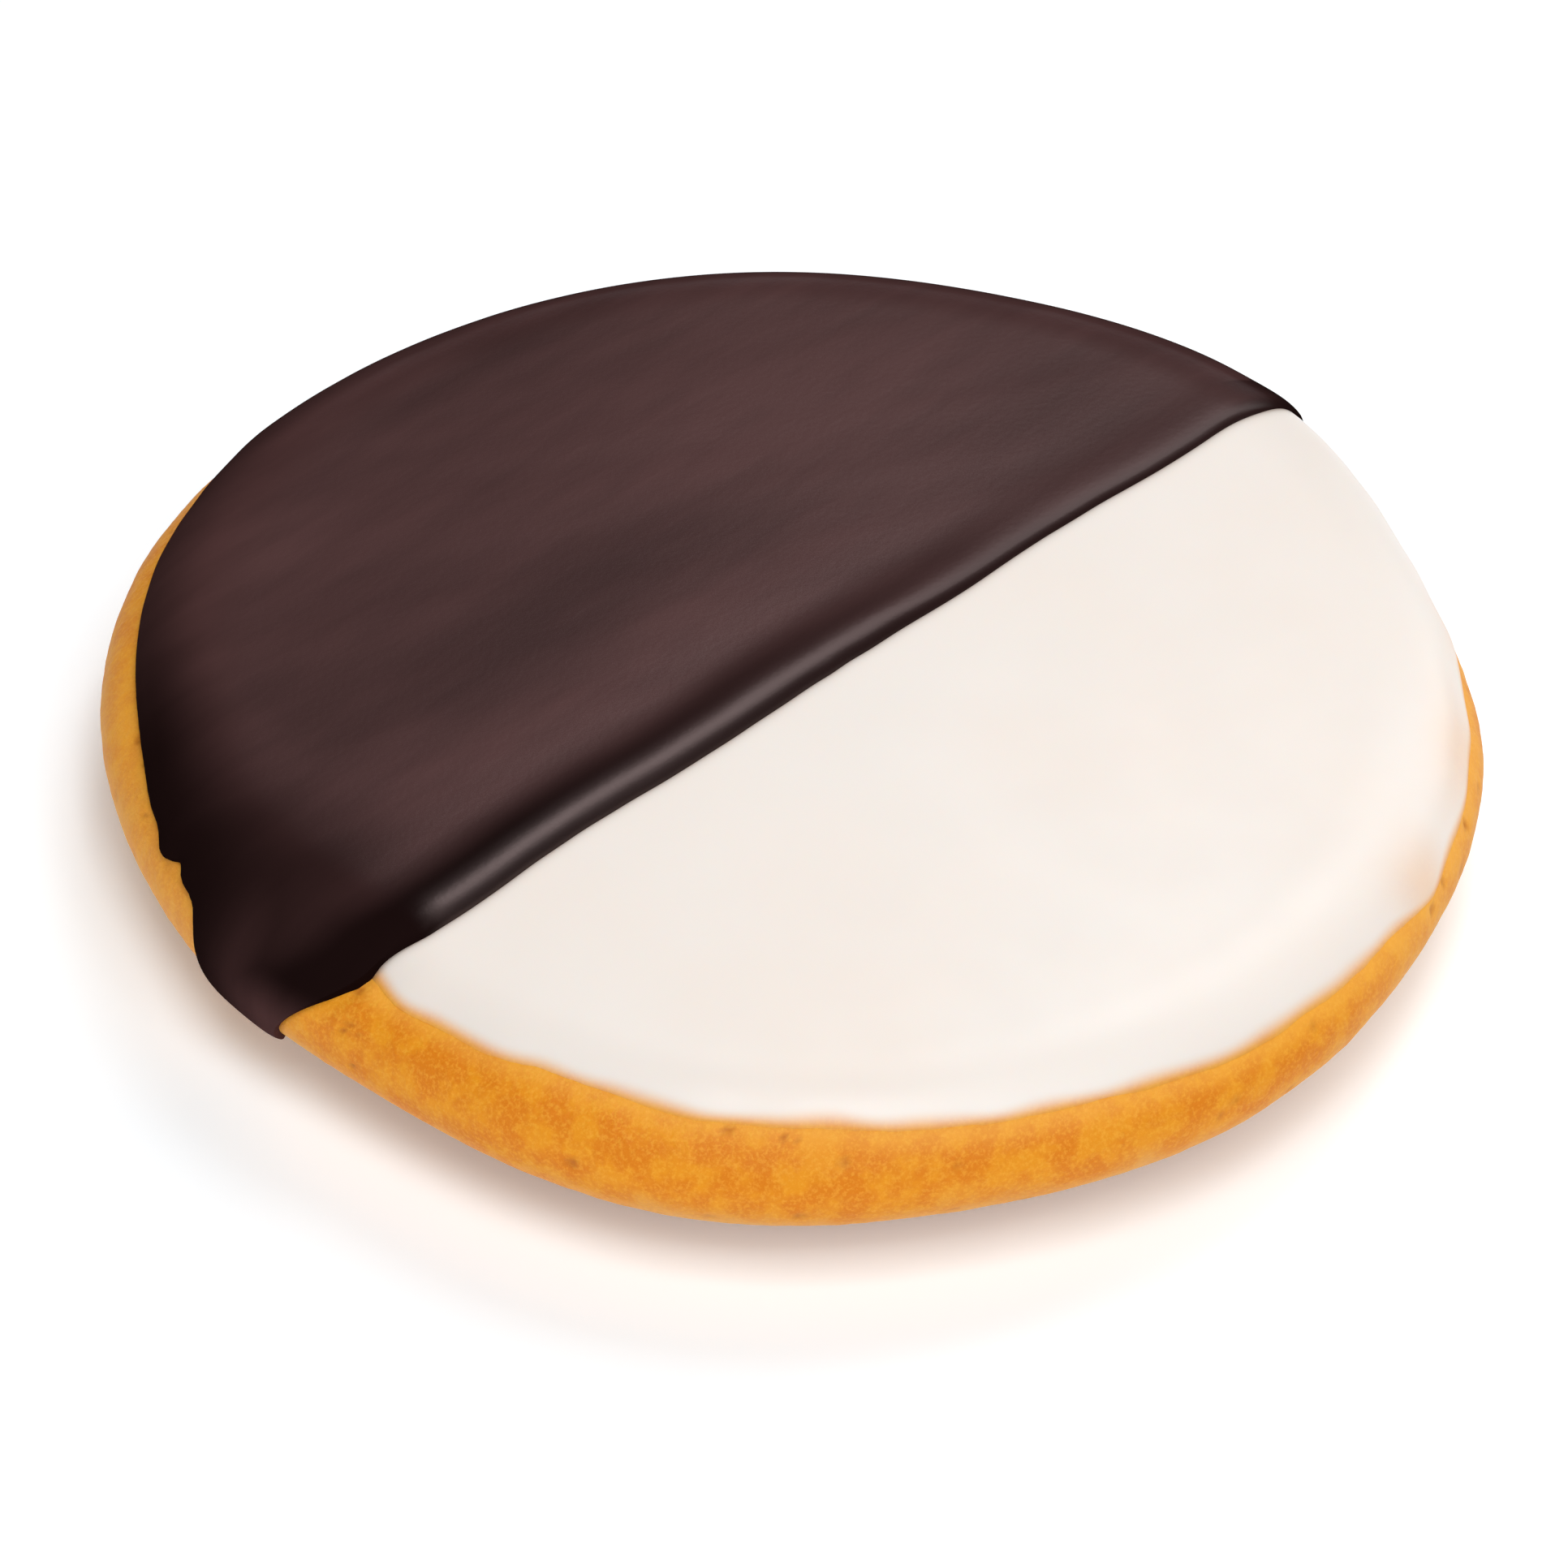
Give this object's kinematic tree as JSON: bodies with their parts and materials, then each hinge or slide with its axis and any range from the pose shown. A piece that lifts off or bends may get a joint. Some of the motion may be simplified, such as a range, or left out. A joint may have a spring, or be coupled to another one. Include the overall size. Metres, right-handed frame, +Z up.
{
  "type": "black and white cookie",
  "caption": "Soft, cake-like round cookie lying on its domed underside, its top iced half in white and half in chocolate along a straight line.",
  "frame": {"origin": "on the table, under the middle of the cookie", "axes": "+X along the line where the two icings meet, +Y towards the chocolate half, +Z up out of the iced top"},
  "size_m": [0.114, 0.1157, 0.0188],
  "materials": {
    "cake": null,
    "white_icing": null,
    "chocolate_icing": null
  },
  "bodies": {
    "root": {"cookie_base": "cake", "white_icing": "white_icing", "chocolate_icing": "chocolate_icing"}
  },
  "joints": []
}
